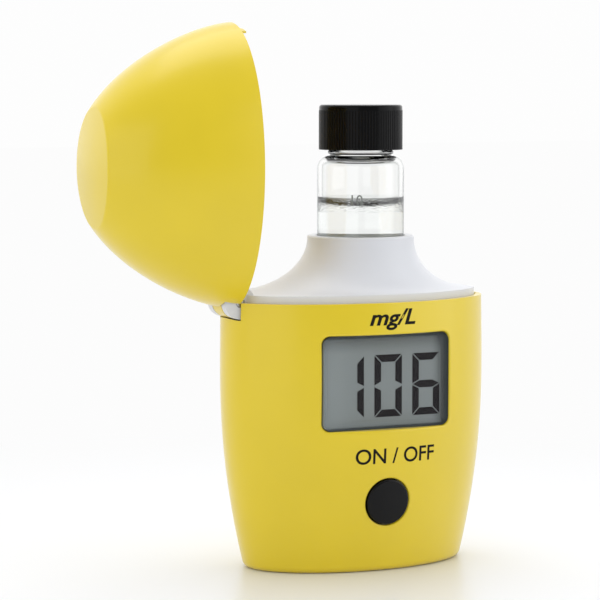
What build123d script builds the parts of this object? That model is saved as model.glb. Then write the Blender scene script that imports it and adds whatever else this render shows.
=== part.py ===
from build123d import *
import math
import os

# A pocket colorimeter: an oval yellow body with a display and one button, a
# white funnel-shaped collar on top that takes a capped glass cuvette, and a
# domed lid hinged at the left end. Millimetres. The origin is the middle of
# the base, +Z is up, -Y is the front with the display and +X is the end away
# from the hinge. At rest the lid stands open by a right angle and the cuvette
# is drawn up out of its well, as the instrument stands in the photograph.

# Body
BODY_HEIGHT = 58.0  # base to the edge where the lid meets the body
BODY_WIDTH = 61.0  # at the waist, the widest height
BODY_DEPTH = 37.5
WAIST_DROP = 16.5  # from the rim down to the widest height
BASE_WIDTH = 50.6
BASE_DEPTH = 29.8
RIM_WIDTH = 60.8
RIM_DEPTH = 36.3
BODY_WALL = 1.8
FLOOR = 2.6
BASE_EDGE_RADIUS = 1.6
RIM_THICKNESS = 1.45  # the wall is thinner where the collar drops in
COLLAR_SEAT_DEPTH = 3.0
FIT = 0.2  # gap round a piece that drops into another

# Lid
LID_HEIGHT = 32.1
LID_APEX = 35.3  # height at which the dome would come to a point
LID_TAPER = 1.45  # exponent of the dome's curve across its width
LID_DEPTH_TAPER = 2.6
LID_WALL = 1.3
LID_GAP = 0.3  # between the lid's rim and the body's rim
LID_CROWN_RADIUS = 70.0
LID_EDGE_RADIUS = 0.9
OPEN_ANGLE = 90.0

# Hinge and catch
HINGE_INSET = 1.5  # from the rim's left end to the hinge pin
HINGE_PIN_RADIUS = 1.0
KNUCKLE_RADIUS = 3.5
KNUCKLE_WIDTH = 4.6
EAR_WIDTH = 2.2
HINGE_GAP = 0.3  # round the knuckle and the ears
NOTCH_SIDE_GAP = 0.6  # beside the ears
PIN_RUNNING_GAP = 0.05
PIN_SEAT_GAP = 0.02
CATCH_WIDTH = 8.0
CATCH_THICKNESS = 1.2  # at its middle; its back follows the rim
CATCH_INSET = 1.2  # from the outside of the rim in to the catch
CATCH_REACH = 1.8  # below the lid's rim
CATCH_ROOT = 2.0  # above the lid's rim

# Collar
COLLAR_TOP_RADIUS = 11.6
COLLAR_RISE = 13.4  # from the body's rim up to the mouth
COLLAR_LIP_HEIGHT = 1.6  # shows above the body's rim
COLLAR_WALL = 1.6
COLLAR_TOP_EDGE = 0.4
COLLAR_SHOULDER = 1.0  # thickness of the flat shoulder behind the lip
SOCKET_DEPTH = 7.2  # from the mouth down to the well tube

# Cuvette, cap and well
WELL_X = 1.9  # the well stands off the middle, away from the hinge
VIAL_RADIUS = 9.45
VIAL_WALL = 1.0
VIAL_BOTTOM = 1.3
VIAL_BODY_HEIGHT = 56.3  # bottom to the top of the shoulder
VIAL_SHOULDER_RADIUS = 2.7
NECK_RADIUS = 6.7
NECK_BORE = 5.2
FILL_VOLUME = 10000.0  # cubic millimetres, to the fill mark
CUVETTE_LIFT = 18.3  # drawn up from its seat at rest
CUVETTE_GAP = 0.3
WELL_WALL = 1.0
WELL_FLOOR = 1.2
CAP_RADIUS = 9.1
CAP_HEIGHT = 9.7
CAP_CLEAR_OF_SHOULDER = 1.25
CAP_REST_GAP = 0.3  # between the cap and the collar when the cuvette is seated
CAP_TOP = 1.3
CAP_RIB_COUNT = 90
CAP_RIB_DEPTH = 0.22
CAP_EDGE_RADIUS = 0.6
CAP_THREAD_GAP = 0.45
LINER_THICKNESS = 1.0
LINER_GAP = 0.1
LINER_SEAT_GAP = 0.02

# Display
WINDOW_WIDTH = 30.0
WINDOW_HEIGHT = 20.3
WINDOW_DROP = 16.9  # from the rim down to the window's middle
WINDOW_CORNER = 1.8
WINDOW_SINK = 3.25  # from the front of the body back to the clear window's face
WINDOW_LIP_RADIUS = 0.45
WINDOW_THICKNESS = 0.8
WINDOW_LEDGE_WIDTH = 0.8
WINDOW_LEDGE_THICKNESS = 0.6
FRAME_BORDER = 2.1
DISPLAY_WIDTH = 30.2
DISPLAY_HEIGHT = 22.0
DISPLAY_THICKNESS = 1.4
STRIP_THICKNESS = 0.6
STRIP_WIDTH = 1.6
BOARD_THICKNESS = 1.0
BOARD_WIDTH = 36.0
BOARD_FOOT_WIDTH = 25.0
BOARD_RISE = 13.4  # above the window's middle
BOARD_DROP = 13.1  # below the window's middle, where it narrows
BOARD_FOOT_DROP = 6.3  # below the button's middle
BOARD_SCREW_X = 16.4
BOARD_SCREW_RISE = 8.4  # above the window's middle
BOARD_SCREW_DROP = 8.1
STACK_GAP = 0.1  # between the ledge and the display glass

# Button
BUTTON_RADIUS = 4.9
BUTTON_DROP = 25.8  # from the window's middle down to the button's
BUTTON_PROUD = 0.35
BUTTON_TRAVEL = 0.5
BUTTON_HOLE_GAP = 0.25
BUTTON_HOLE_EDGE = 0.35
BUTTON_FLANGE_RADIUS = 5.8
BUTTON_FLANGE_THICKNESS = 1.4
BUTTON_REST_GAP = 0.1  # between the switch and the flange when pressed
SWITCH_SIDE = 6.0
SWITCH_THICKNESS = 0.5
PLUNGER_RADIUS = 1.5

# Chips on the board, between the display and the button
CHIP_THICKNESS = 0.9
CONTROLLER_X = -5.5
CONTROLLER_SIDE = 6.0
AMPLIFIER_X = 5.0
AMPLIFIER_WIDTH = 5.0
AMPLIFIER_HEIGHT = 4.0

# Inner frame, optics and battery
PLATE_THICKNESS = 1.6
BEAM_RISE = 11.85  # above the cuvette's seat
BEAM_RADIUS = 1.2
LAMP_RADIUS = 2.45
LAMP_LENGTH = 7.0
LAMP_BOSS_WALL = 1.1
FILTER_THICKNESS = 1.0
LAMP_BOARD = 9.0
SMALL_BOARD_THICKNESS = 0.7
DETECTOR_SIDE = 3.6
DETECTOR_THICKNESS = 0.9
DETECTOR_BOARD_WIDTH = 7.0
DETECTOR_BOARD_HEIGHT = 9.0
SPRING_THICKNESS = 0.2
SPRING_WIDTH = 3.6
SPRING_LENGTH = 18.0
SPRING_DROP = 14.2  # from the top of the well's tube to the spring's middle
SPRING_CLEARANCE = 0.15
LUG_REACH = 15.2
LUG_WIDTH = 5.0
LUG_THICKNESS = 1.5
LUG_DROP = 2.5  # from the body's rim down to the lugs
SCREW_RADIUS = 0.9
SCREW_HEAD_RADIUS = 1.9
SCREW_HEAD_HEIGHT = 1.2
SCREW_LENGTH = 5.5
BOARD_SCREW_RADIUS = 0.7
BOARD_SCREW_HEAD = 1.0
BOARD_SCREW_HEAD_HEIGHT = 0.8
CELL_TO_WELL = 2.3  # between the cell's tube and the well's tube
CELL_RADIUS = 5.25
CELL_LENGTH = 43.6
CELL_NUB_RADIUS = 1.9
CELL_NUB_HEIGHT = 0.9
CELL_BOTTOM = 4.7
CELL_TUBE_GAP = 0.2
CELL_TUBE_WALL = 0.7
CONTACT_THICKNESS = 0.3
CONTACT_WIDTH = 5.0
CONTACT_RADIUS = 3.4
CONTACT_REACH = 2.6  # from the cell's middle to the bottom contact's bend
CONTACT_FOOT = 3.4
CONTACT_TIP = 1.4

# Battery door
DOOR_THICKNESS = 1.3
DOOR_RECESS = 0.2  # the door lies this far above the base
DOOR_RADIUS = 6.0
DOOR_LENGTH = 20.6
DOOR_PAST_CELL = 5.6  # from the cell's middle to the door's left end
DOOR_OPENING_GAP = 0.35  # round the cell where it passes through the floor
DOOR_SCREW_INSET = 3.9  # from the door's right end to its screw
DOOR_BOSS_RADIUS = 2.4
DOOR_BOSS_ROOF = 0.5  # over the end of the screw
SLOT_WIDTH = 0.5
SLOT_DEPTH = 0.5

os.makedirs("parts", exist_ok=True)

# Places worked out from the sizes above
rim_height = BODY_HEIGHT
waist_height = BODY_HEIGHT - WAIST_DROP
hinge_x = HINGE_INSET - RIM_WIDTH / 2
collar_top = rim_height + COLLAR_RISE
collar_half_width = RIM_WIDTH / 2 - RIM_THICKNESS - FIT
collar_half_depth = RIM_DEPTH / 2 - RIM_THICKNESS - FIT
collar_lip_top = rim_height + COLLAR_LIP_HEIGHT
skirt_bottom = rim_height - COLLAR_SEAT_DEPTH
flare_top = collar_top - COLLAR_TOP_EDGE
flare_drop = flare_top - collar_lip_top

well_radius = VIAL_RADIUS + CUVETTE_GAP
tube_radius = well_radius + WELL_WALL
socket_top = collar_top - SOCKET_DEPTH
shoulder_top = collar_top + CAP_REST_GAP + CUVETTE_LIFT - CAP_CLEAR_OF_SHOULDER
vial_bottom = shoulder_top - VIAL_BODY_HEIGHT
vial_seat = vial_bottom - CUVETTE_LIFT
cap_bottom = shoulder_top + CAP_CLEAR_OF_SHOULDER
cap_top = cap_bottom + CAP_HEIGHT
liner_top = cap_top - CAP_TOP - PIN_SEAT_GAP
liner_bottom = liner_top - LINER_THICKNESS
neck_top = liner_bottom - LINER_SEAT_GAP
fill_height = FILL_VOLUME / (math.pi * (VIAL_RADIUS - VIAL_WALL) ** 2)
fill_level = vial_bottom + VIAL_BOTTOM + fill_height
beam_height = vial_seat + BEAM_RISE
spring_middle = socket_top - SPRING_DROP
lug_height = rim_height - LUG_DROP

window_centre = rim_height - WINDOW_DROP
button_height = window_centre - BUTTON_DROP
ledge_front = BODY_DEPTH / 2 - WINDOW_SINK - WINDOW_THICKNESS
ledge_back = ledge_front - WINDOW_LEDGE_THICKNESS
display_front = ledge_back - STACK_GAP
display_back = display_front - DISPLAY_THICKNESS
board_front = display_back - STRIP_THICKNESS
board_back = board_front - BOARD_THICKNESS
plate_back = board_back - PLATE_THICKNESS
board_top = window_centre + BOARD_RISE
board_waist = window_centre - BOARD_DROP
board_foot = button_height - BOARD_FOOT_DROP
board_screw_top = window_centre + BOARD_SCREW_RISE
board_screw_bottom = window_centre - BOARD_SCREW_DROP
chip_row = (button_height + BUTTON_FLANGE_RADIUS + window_centre - DISPLAY_HEIGHT / 2) / 2

cell_top = CELL_BOTTOM + CELL_LENGTH
contact_top = cell_top + CELL_NUB_HEIGHT + CONTACT_THICKNESS
cell_tube_radius = CELL_RADIUS + CELL_TUBE_GAP + CELL_TUBE_WALL
cell_tube_top = contact_top + CELL_TUBE_WALL
cell_x = WELL_X - tube_radius - CELL_TO_WELL - cell_tube_radius
door_left = cell_x - DOOR_PAST_CELL
door_screw_x = door_left + DOOR_LENGTH - DOOR_SCREW_INSET
door_top = DOOR_RECESS + DOOR_THICKNESS
door_screw_end = DOOR_RECESS + DOOR_THICKNESS / 2 + SCREW_LENGTH

knuckle_half = KNUCKLE_WIDTH / 2
ear_inner = knuckle_half + HINGE_GAP
ear_outer = ear_inner + EAR_WIDTH
notch_half = ear_outer + NOTCH_SIDE_GAP
notch_radius = KNUCKLE_RADIUS + HINGE_GAP

# The catch hangs in a pocket in the rim, and its root reaches the lid's wall.
catch_half_width = RIM_WIDTH / 2 - CATCH_INSET
catch_half_depth = RIM_DEPTH / 2 - CATCH_INSET
catch_inner = catch_half_width - CATCH_THICKNESS
catch_room_bottom = rim_height - CATCH_REACH - HINGE_GAP

# The lid is drawn as if closed on this plane, which stands it up on its hinge.
open_turn = math.radians(OPEN_ANGLE)
lid_plane = Plane(
    origin=(
        hinge_x - hinge_x * math.cos(open_turn),
        0,
        rim_height - hinge_x * math.sin(open_turn),
    ),
    x_dir=(math.cos(open_turn), 0, math.sin(open_turn)),
    z_dir=(-math.sin(open_turn), 0, math.cos(open_turn)),
)


def body_oval(height):
    """Half width and half depth of the body's outside at a height."""
    if height < waist_height:
        share = ((waist_height - height) / waist_height) ** 2
        end_width, end_depth = BASE_WIDTH, BASE_DEPTH
    else:
        share = ((height - waist_height) / (BODY_HEIGHT - waist_height)) ** 2
        end_width, end_depth = RIM_WIDTH, RIM_DEPTH
    width = BODY_WIDTH - share * (BODY_WIDTH - end_width)
    depth = BODY_DEPTH - share * (BODY_DEPTH - end_depth)
    return width / 2, depth / 2


def lid_oval(height):
    """Half width and half depth of the lid's dome at a height above its rim."""
    share = math.sqrt(1 - (height / LID_APEX) ** LID_TAPER)
    depth_share = math.sqrt(1 - (height / LID_APEX) ** LID_DEPTH_TAPER)
    return RIM_WIDTH / 2 * share, RIM_DEPTH / 2 * depth_share


def oval_stack(levels, plane=Plane.XY):
    """A smooth solid through ovals: (height, half width, half depth, middle)."""
    with BuildPart() as stack:
        for height, half_width, half_depth, middle in levels:
            with BuildSketch(plane.offset(height)):
                with Locations((middle, 0)):
                    Ellipse(half_width, half_depth)
        loft()
    return stack.part


def body_levels(bottom, wall):
    """The body's ovals from a height up to the rim, drawn in by a wall."""
    heights = [bottom + share * (waist_height - bottom) for share in (0, 0.15, 0.3, 0.5, 0.75, 1)]
    heights += [(waist_height + rim_height) / 2, rim_height]
    levels = []
    for height in heights:
        half_width, half_depth = body_oval(height)
        levels.append((height, half_width - wall, half_depth - wall, 0))
    return levels


def lid_levels(wall):
    """The dome's ovals, measured from the rim, for the outside or the hollow."""
    top = (LID_HEIGHT + LID_APEX) / 2 - wall
    levels = []
    for share in (0, 0.15, 0.3, 0.45, 0.6, 0.73, 0.84, 0.93, 1):
        height = share * top
        half_width, half_depth = lid_oval(height)
        draw_in = 0.0
        if wall:
            # The dome slopes, so a wall of even thickness is wider across.
            ahead, _ = lid_oval(height + wall)
            draw_in = math.hypot(wall, half_width - ahead)
            draw_in = min(draw_in, 2 * wall)
        levels.append((height, half_width - draw_in, half_depth - draw_in, 0))
    return levels


def flare_levels(angles, wall):
    """The collar's ovals down a hollow curve, drawn in by a wall."""
    levels = []
    for angle in angles:
        turn = math.radians(angle)
        reach = 1 - math.cos(turn)
        half_width = COLLAR_TOP_RADIUS + reach * (collar_half_width - COLLAR_TOP_RADIUS)
        half_depth = COLLAR_TOP_RADIUS + reach * (collar_half_depth - COLLAR_TOP_RADIUS)
        draw_in = wall * math.cos(turn)
        height = flare_top - flare_drop * math.sin(turn) - wall * math.sin(turn)
        levels.append((height, half_width - draw_in, half_depth - draw_in, WELL_X * (1 - reach)))
    return levels


def hinge_disc(radius, inner, outer):
    """Discs round the hinge axis at both ends, from inner to outer off the middle."""
    with BuildPart() as discs:
        for side in (-1, 1):
            start = -side * inner if side < 0 else -outer
            with BuildSketch(Plane.XZ.offset(start)):
                with Locations((hinge_x, rim_height)):
                    Circle(radius)
            extrude(amount=outer - inner)
    return discs.part


def middle_disc(radius, half):
    """One disc round the hinge axis across the middle."""
    with BuildPart() as disc:
        with BuildSketch(Plane.XZ):
            with Locations((hinge_x, rim_height)):
                Circle(radius)
        extrude(amount=half, both=True)
    return disc.part


def well_cylinder(radius, bottom, top):
    """A cylinder on the well's axis."""
    with BuildPart() as cylinder:
        with BuildSketch(Plane.XY.offset(bottom)):
            with Locations((WELL_X, 0)):
                Circle(radius)
        extrude(amount=top - bottom)
    return cylinder.part


# Body shell: an open bucket. The collar drops into its rim, and behind the
# window its curved wall is filled in to a flat frame.
body_outside = oval_stack(body_levels(0, 0))
body_hollow = oval_stack(body_levels(FLOOR, BODY_WALL))
frame_width = WINDOW_WIDTH + 2 * FRAME_BORDER
frame_height = WINDOW_HEIGHT + 2 * FRAME_BORDER
with BuildPart() as frame_fill:
    with BuildSketch(Plane.XZ.offset(ledge_back)):
        with Locations((0, window_centre)):
            RectangleRounded(frame_width, frame_height, WINDOW_CORNER + FRAME_BORDER / 2)
    extrude(amount=BODY_DEPTH / 2)
window_frame = frame_fill.part & body_outside
hinge_notch = middle_disc(notch_radius, notch_half)

with BuildPart() as body_shell:
    add(body_outside)
    fillet(body_shell.edges().group_by(Axis.Z)[0], BASE_EDGE_RADIUS)
    add(body_hollow, mode=Mode.SUBTRACT)
    add(window_frame)
    # rebate for the collar
    with BuildSketch(Plane.XY.offset(skirt_bottom)):
        Ellipse(RIM_WIDTH / 2 - RIM_THICKNESS, RIM_DEPTH / 2 - RIM_THICKNESS)
    extrude(amount=COLLAR_SEAT_DEPTH, mode=Mode.SUBTRACT)
    # window seat and the smaller opening behind it
    with BuildSketch(Plane.XZ.offset(ledge_front)):
        with Locations((0, window_centre)):
            RectangleRounded(WINDOW_WIDTH, WINDOW_HEIGHT, WINDOW_CORNER)
    extrude(amount=BODY_DEPTH / 2, mode=Mode.SUBTRACT)
    window_lip = body_shell.edges(Select.LAST).filter_by(
        lambda edge: edge.bounding_box().max.Y < -ledge_front - FIT
    )
    fillet(window_lip, WINDOW_LIP_RADIUS)
    with BuildSketch(Plane.XZ.offset(ledge_back)):
        with Locations((0, window_centre)):
            RectangleRounded(
                WINDOW_WIDTH - 2 * WINDOW_LEDGE_WIDTH,
                WINDOW_HEIGHT - 2 * WINDOW_LEDGE_WIDTH,
                WINDOW_CORNER / 2,
            )
    extrude(amount=BODY_DEPTH / 2, mode=Mode.SUBTRACT)
    # button hole
    with BuildSketch(Plane.XZ.offset(board_front)):
        with Locations((0, button_height)):
            Circle(BUTTON_RADIUS + BUTTON_HOLE_GAP)
    extrude(amount=BODY_DEPTH / 2, mode=Mode.SUBTRACT)
    fillet(body_shell.edges(Select.LAST).sort_by(Axis.Y)[0], BUTTON_HOLE_EDGE)
    # hinge notch in the left end of the rim, and the pocket for the catch in the right
    add(hinge_notch, mode=Mode.SUBTRACT)
    with BuildSketch(Plane.XY.offset(catch_room_bottom)):
        Ellipse(catch_half_width + HINGE_GAP, catch_half_depth + HINGE_GAP)
        with Locations((catch_inner + CATCH_THICKNESS, 0)):
            Rectangle(
                2 * (CATCH_THICKNESS + HINGE_GAP), CATCH_WIDTH + 2 * HINGE_GAP, mode=Mode.INTERSECT
            )
    extrude(amount=rim_height - catch_room_bottom, mode=Mode.SUBTRACT)
    # boss for the battery door's screw
    with BuildSketch(Plane.XY.offset(FLOOR)):
        with Locations((door_screw_x, 0)):
            Circle(DOOR_BOSS_RADIUS)
    extrude(amount=door_screw_end + DOOR_BOSS_ROOF - FLOOR)
    # battery door recess, the way in for the cell, and the screw's hole
    with BuildSketch(Plane.XY):
        with Locations((door_left + DOOR_LENGTH / 2, 0)):
            SlotOverall(DOOR_LENGTH + FIT, 2 * DOOR_RADIUS + FIT)
    extrude(amount=door_top, mode=Mode.SUBTRACT)
    with BuildSketch(Plane.XY.offset(door_top)):
        with Locations((cell_x, 0)):
            Circle(CELL_RADIUS + DOOR_OPENING_GAP)
    extrude(amount=FLOOR - door_top, mode=Mode.SUBTRACT)
    with BuildSketch(Plane.XY.offset(door_top)):
        with Locations((door_screw_x, 0)):
            Circle(SCREW_RADIUS + PIN_RUNNING_GAP)
    extrude(amount=door_screw_end + PIN_RUNNING_GAP - door_top, mode=Mode.SUBTRACT)
body_shell.part.label = "body_shell"
export_step(body_shell.part, "parts/body_shell.step")

# Lid: a domed shell with a crowned oval top, a hinge knuckle in the middle of
# one end, clearance round the ears beside it, and a catch at the other end.
lid_outside = oval_stack(lid_levels(0), lid_plane)
lid_hollow = oval_stack(lid_levels(LID_WALL), lid_plane)
crown_plane = lid_plane.offset(LID_HEIGHT - LID_CROWN_RADIUS)
with BuildPart() as crown_ball:
    with Locations(crown_plane):
        Sphere(LID_CROWN_RADIUS, rotation=(90, 0, 0))
with BuildPart() as hollow_ball:
    with Locations(crown_plane):
        Sphere(LID_CROWN_RADIUS - LID_WALL, rotation=(90, 0, 0))
lid_hollow = lid_hollow & hollow_ball.part
ear_room = hinge_disc(notch_radius, knuckle_half, notch_half)
knuckle = middle_disc(KNUCKLE_RADIUS, knuckle_half)

with BuildPart() as root_block:
    with BuildSketch(lid_plane.offset(LID_GAP)):
        with Locations((catch_inner + CATCH_THICKNESS + LID_WALL, 0)):
            Rectangle(2 * (CATCH_THICKNESS + LID_WALL), CATCH_WIDTH)
    extrude(amount=CATCH_ROOT - LID_GAP)
catch_root = root_block.part & lid_outside

with BuildPart() as lid:
    add(lid_outside)
    add(crown_ball.part, mode=Mode.INTERSECT)
    crown_axis = Axis(lid_plane.origin, lid_plane.z_dir)
    fillet(lid.edges().sort_by(crown_axis)[-1], LID_EDGE_RADIUS)
    add(lid_hollow, mode=Mode.SUBTRACT)
    # trim the rim back to its running gap
    with BuildSketch(lid_plane):
        Ellipse(RIM_WIDTH, RIM_DEPTH)
    extrude(amount=LID_GAP, mode=Mode.SUBTRACT)
    add(ear_room, mode=Mode.SUBTRACT)
    add(knuckle)
    with BuildSketch(Plane.XZ):
        with Locations((hinge_x, rim_height)):
            Circle(HINGE_PIN_RADIUS + PIN_RUNNING_GAP)
    extrude(amount=notch_half, both=True, mode=Mode.SUBTRACT)
    # catch: a tongue inside the free end, on a root that joins it to the wall
    with BuildSketch(lid_plane.offset(-CATCH_REACH)):
        Ellipse(catch_half_width, catch_half_depth)
        with Locations((catch_inner + CATCH_THICKNESS, 0)):
            Rectangle(2 * CATCH_THICKNESS, CATCH_WIDTH, mode=Mode.INTERSECT)
    extrude(amount=CATCH_REACH + CATCH_ROOT)
    add(catch_root)
lid.part.label = "lid"
export_step(lid.part, "parts/lid.step")

# Collar: a white funnel from the oval rim up to the round mouth of the well,
# with a skirt that drops into the body and two ears for the hinge pin.
flare_outside = oval_stack(flare_levels((0, 20, 38, 54, 68, 79, 90), 0)[::-1])
flare_hollow = oval_stack(flare_levels((24, 38, 54, 68, 78), COLLAR_WALL)[::-1])
mouth = well_cylinder(COLLAR_TOP_RADIUS, flare_top - COLLAR_TOP_EDGE, collar_top)
socket_outer_radius = tube_radius + WELL_WALL + FIT
socket = well_cylinder(socket_outer_radius, socket_top - COLLAR_SEAT_DEPTH, flare_top) & flare_outside
with BuildPart() as boss_posts:
    with BuildSketch(Plane.XY.offset(lug_height + LUG_THICKNESS)):
        with Locations((WELL_X - LUG_REACH, 0), (WELL_X + LUG_REACH, 0)):
            Circle(LUG_WIDTH / 2)
    extrude(amount=flare_top - lug_height)
with BuildPart() as skirt_solid:
    with BuildSketch(Plane.XY.offset(skirt_bottom)):
        Ellipse(collar_half_width, collar_half_depth)
    extrude(amount=collar_lip_top - skirt_bottom)
collar_outside = flare_outside + skirt_solid.part
boss_columns = boss_posts.part & collar_outside
ears = hinge_disc(KNUCKLE_RADIUS, ear_inner, ear_outer)
knuckle_room = middle_disc(notch_radius, ear_inner)

with BuildPart() as collar:
    add(collar_outside)
    add(mouth)
    fillet(collar.edges().group_by(Axis.Z)[-1], COLLAR_TOP_EDGE)
    add(flare_hollow, mode=Mode.SUBTRACT)
    with BuildSketch(Plane.XY.offset(skirt_bottom)):
        Ellipse(collar_half_width - COLLAR_WALL, collar_half_depth - COLLAR_WALL)
    extrude(amount=collar_lip_top - COLLAR_SHOULDER - skirt_bottom, mode=Mode.SUBTRACT)
    add(socket)
    add(boss_columns)
    with BuildSketch(Plane.XY.offset(skirt_bottom)):
        with Locations((WELL_X, 0)):
            Circle(well_radius)
    extrude(amount=collar_top - skirt_bottom, mode=Mode.SUBTRACT)
    with BuildSketch(Plane.XY.offset(skirt_bottom)):
        with Locations((WELL_X, 0)):
            Circle(tube_radius + FIT)
    extrude(amount=socket_top - skirt_bottom, mode=Mode.SUBTRACT)
    with BuildSketch(Plane.XY.offset(lug_height)):
        with Locations((WELL_X - LUG_REACH, 0), (WELL_X + LUG_REACH, 0)):
            Circle(SCREW_RADIUS + PIN_RUNNING_GAP)
    extrude(amount=SCREW_LENGTH + FIT, mode=Mode.SUBTRACT)
    add(knuckle_room, mode=Mode.SUBTRACT)
    add(ears)
    with BuildSketch(Plane.XZ):
        with Locations((hinge_x, rim_height)):
            Circle(HINGE_PIN_RADIUS + PIN_SEAT_GAP)
    extrude(amount=ear_outer, both=True, mode=Mode.SUBTRACT)
    # room for the lid's catch
    with BuildSketch(Plane.XY.offset(catch_room_bottom)):
        with Locations((catch_inner - HINGE_GAP + CATCH_THICKNESS, 0)):
            Rectangle(2 * CATCH_THICKNESS, CATCH_WIDTH + 2 * HINGE_GAP)
    extrude(amount=collar_lip_top + HINGE_GAP - catch_room_bottom, mode=Mode.SUBTRACT)
collar.part.label = "collar"
export_step(collar.part, "parts/collar.step")

with BuildPart() as hinge_pin:
    with BuildSketch(Plane.XZ):
        with Locations((hinge_x, rim_height)):
            Circle(HINGE_PIN_RADIUS)
    extrude(amount=ear_outer, both=True)
    chamfer(hinge_pin.edges().filter_by(GeomType.CIRCLE), HINGE_PIN_RADIUS / 4)
hinge_pin.part.label = "hinge_pin"
export_step(hinge_pin.part, "parts/hinge_pin.step")

# Inner frame: one black moulding with the cuvette's well, the plate that
# carries the circuit board, the lamp's boss and the tube for the cell.
lamp_boss_start = WELL_X + well_radius
filter_start = WELL_X + tube_radius
lamp_start = filter_start + FILTER_THICKNESS + FIT
lamp_end = lamp_start + LAMP_LENGTH
boss_end = lamp_end - FILTER_THICKNESS
detector_face = WELL_X - tube_radius
cell_floor = FLOOR

with BuildPart() as inner_frame:
    # well tube and its floor
    with BuildSketch(Plane.XY.offset(vial_seat - WELL_FLOOR)):
        with Locations((WELL_X, 0)):
            Circle(tube_radius)
    extrude(amount=socket_top - vial_seat + WELL_FLOOR)
    # plate behind the circuit board
    with BuildSketch(Plane.XZ.offset(plate_back)):
        with Locations((0, (board_waist + board_top) / 2)):
            Rectangle(BOARD_WIDTH, board_top - board_waist)
        with Locations((0, (vial_seat + board_waist) / 2)):
            Rectangle(BOARD_FOOT_WIDTH, board_waist - vial_seat)
    extrude(amount=PLATE_THICKNESS)
    # lamp boss
    with BuildSketch(Plane.YZ.offset(lamp_boss_start)):
        with Locations((0, beam_height)):
            Circle(LAMP_RADIUS + LAMP_BOSS_WALL)
    extrude(amount=boss_end - lamp_boss_start)
    # tube for the cell, with a web to the board plate
    with BuildSketch(Plane.XY.offset(cell_floor)):
        with Locations((cell_x, 0)):
            Circle(cell_tube_radius)
    extrude(amount=cell_tube_top - cell_floor)
    web_length = plate_back - CELL_RADIUS
    with BuildSketch(Plane.XY.offset(board_waist)):
        with Locations((cell_x + PLATE_THICKNESS, -CELL_RADIUS - web_length / 2)):
            Rectangle(PLATE_THICKNESS, web_length)
    extrude(amount=cell_tube_top - board_waist)
    # lugs that hang the frame from the collar
    with BuildSketch(Plane.XY.offset(lug_height)):
        with Locations((WELL_X, 0)):
            SlotCenterToCenter(2 * LUG_REACH, LUG_WIDTH)
    extrude(amount=LUG_THICKNESS)
    with BuildSketch(Plane.XY.offset(lug_height)):
        with Locations((WELL_X - LUG_REACH, 0), (WELL_X + LUG_REACH, 0)):
            Circle(SCREW_RADIUS + FIT)
    extrude(amount=LUG_THICKNESS, mode=Mode.SUBTRACT)
    # bore of the well
    with BuildSketch(Plane.XY.offset(vial_seat)):
        with Locations((WELL_X, 0)):
            Circle(well_radius)
    extrude(amount=socket_top - vial_seat, mode=Mode.SUBTRACT)
    # bore for the cell, closed at the top
    with BuildSketch(Plane.XY.offset(cell_floor)):
        with Locations((cell_x, 0)):
            Circle(CELL_RADIUS + CELL_TUBE_GAP)
    extrude(amount=contact_top - cell_floor, mode=Mode.SUBTRACT)
    # light path, filter and lamp
    with BuildSketch(Plane.YZ.offset(detector_face)):
        with Locations((0, beam_height)):
            Circle(BEAM_RADIUS)
    extrude(amount=filter_start - detector_face, mode=Mode.SUBTRACT)
    with BuildSketch(Plane.YZ.offset(filter_start)):
        with Locations((0, beam_height)):
            Circle(LAMP_RADIUS + PIN_RUNNING_GAP)
    extrude(amount=boss_end - filter_start, mode=Mode.SUBTRACT)
    # slot for the leaf spring in the back of the well
    with BuildSketch(Plane.XZ.offset(-(tube_radius + FIT))):
        with Locations((WELL_X, spring_middle)):
            Rectangle(SPRING_WIDTH + 2 * FIT, SPRING_LENGTH * 0.8)
    extrude(amount=WELL_WALL + CUVETTE_GAP + 3 * FIT, mode=Mode.SUBTRACT)
    # screw holes behind the board
    with BuildSketch(Plane.XZ.offset(plate_back)):
        for side in (-1, 1):
            for height in (board_screw_bottom, board_screw_top):
                with Locations((side * BOARD_SCREW_X, height)):
                    Circle(BOARD_SCREW_RADIUS + PIN_RUNNING_GAP)
    extrude(amount=PLATE_THICKNESS, mode=Mode.SUBTRACT)
inner_frame.part.label = "inner_frame"
export_step(inner_frame.part, "parts/inner_frame.step")

# Leaf spring that grips the cuvette through the slot at the back of the well
spring_back = tube_radius + SPRING_THICKNESS / 2
spring_crown = VIAL_RADIUS + SPRING_CLEARANCE + SPRING_THICKNESS / 2
with BuildPart() as grip_spring:
    with BuildSketch(Plane.YZ.offset(WELL_X - SPRING_WIDTH / 2)):
        with BuildLine() as spring_line:
            ThreePointArc(
                (spring_back, spring_middle - SPRING_LENGTH * 0.38),
                (spring_crown, spring_middle),
                (spring_back, spring_middle + SPRING_LENGTH * 0.38),
            )
        trace(spring_line.line, line_width=SPRING_THICKNESS)
        for side in (-1, 1):
            with Locations((spring_back, spring_middle + side * SPRING_LENGTH * 0.45)):
                Rectangle(SPRING_THICKNESS, SPRING_LENGTH * 0.14)
    extrude(amount=SPRING_WIDTH)
grip_spring.part.label = "grip_spring"
export_step(grip_spring.part, "parts/grip_spring.step")

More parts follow.
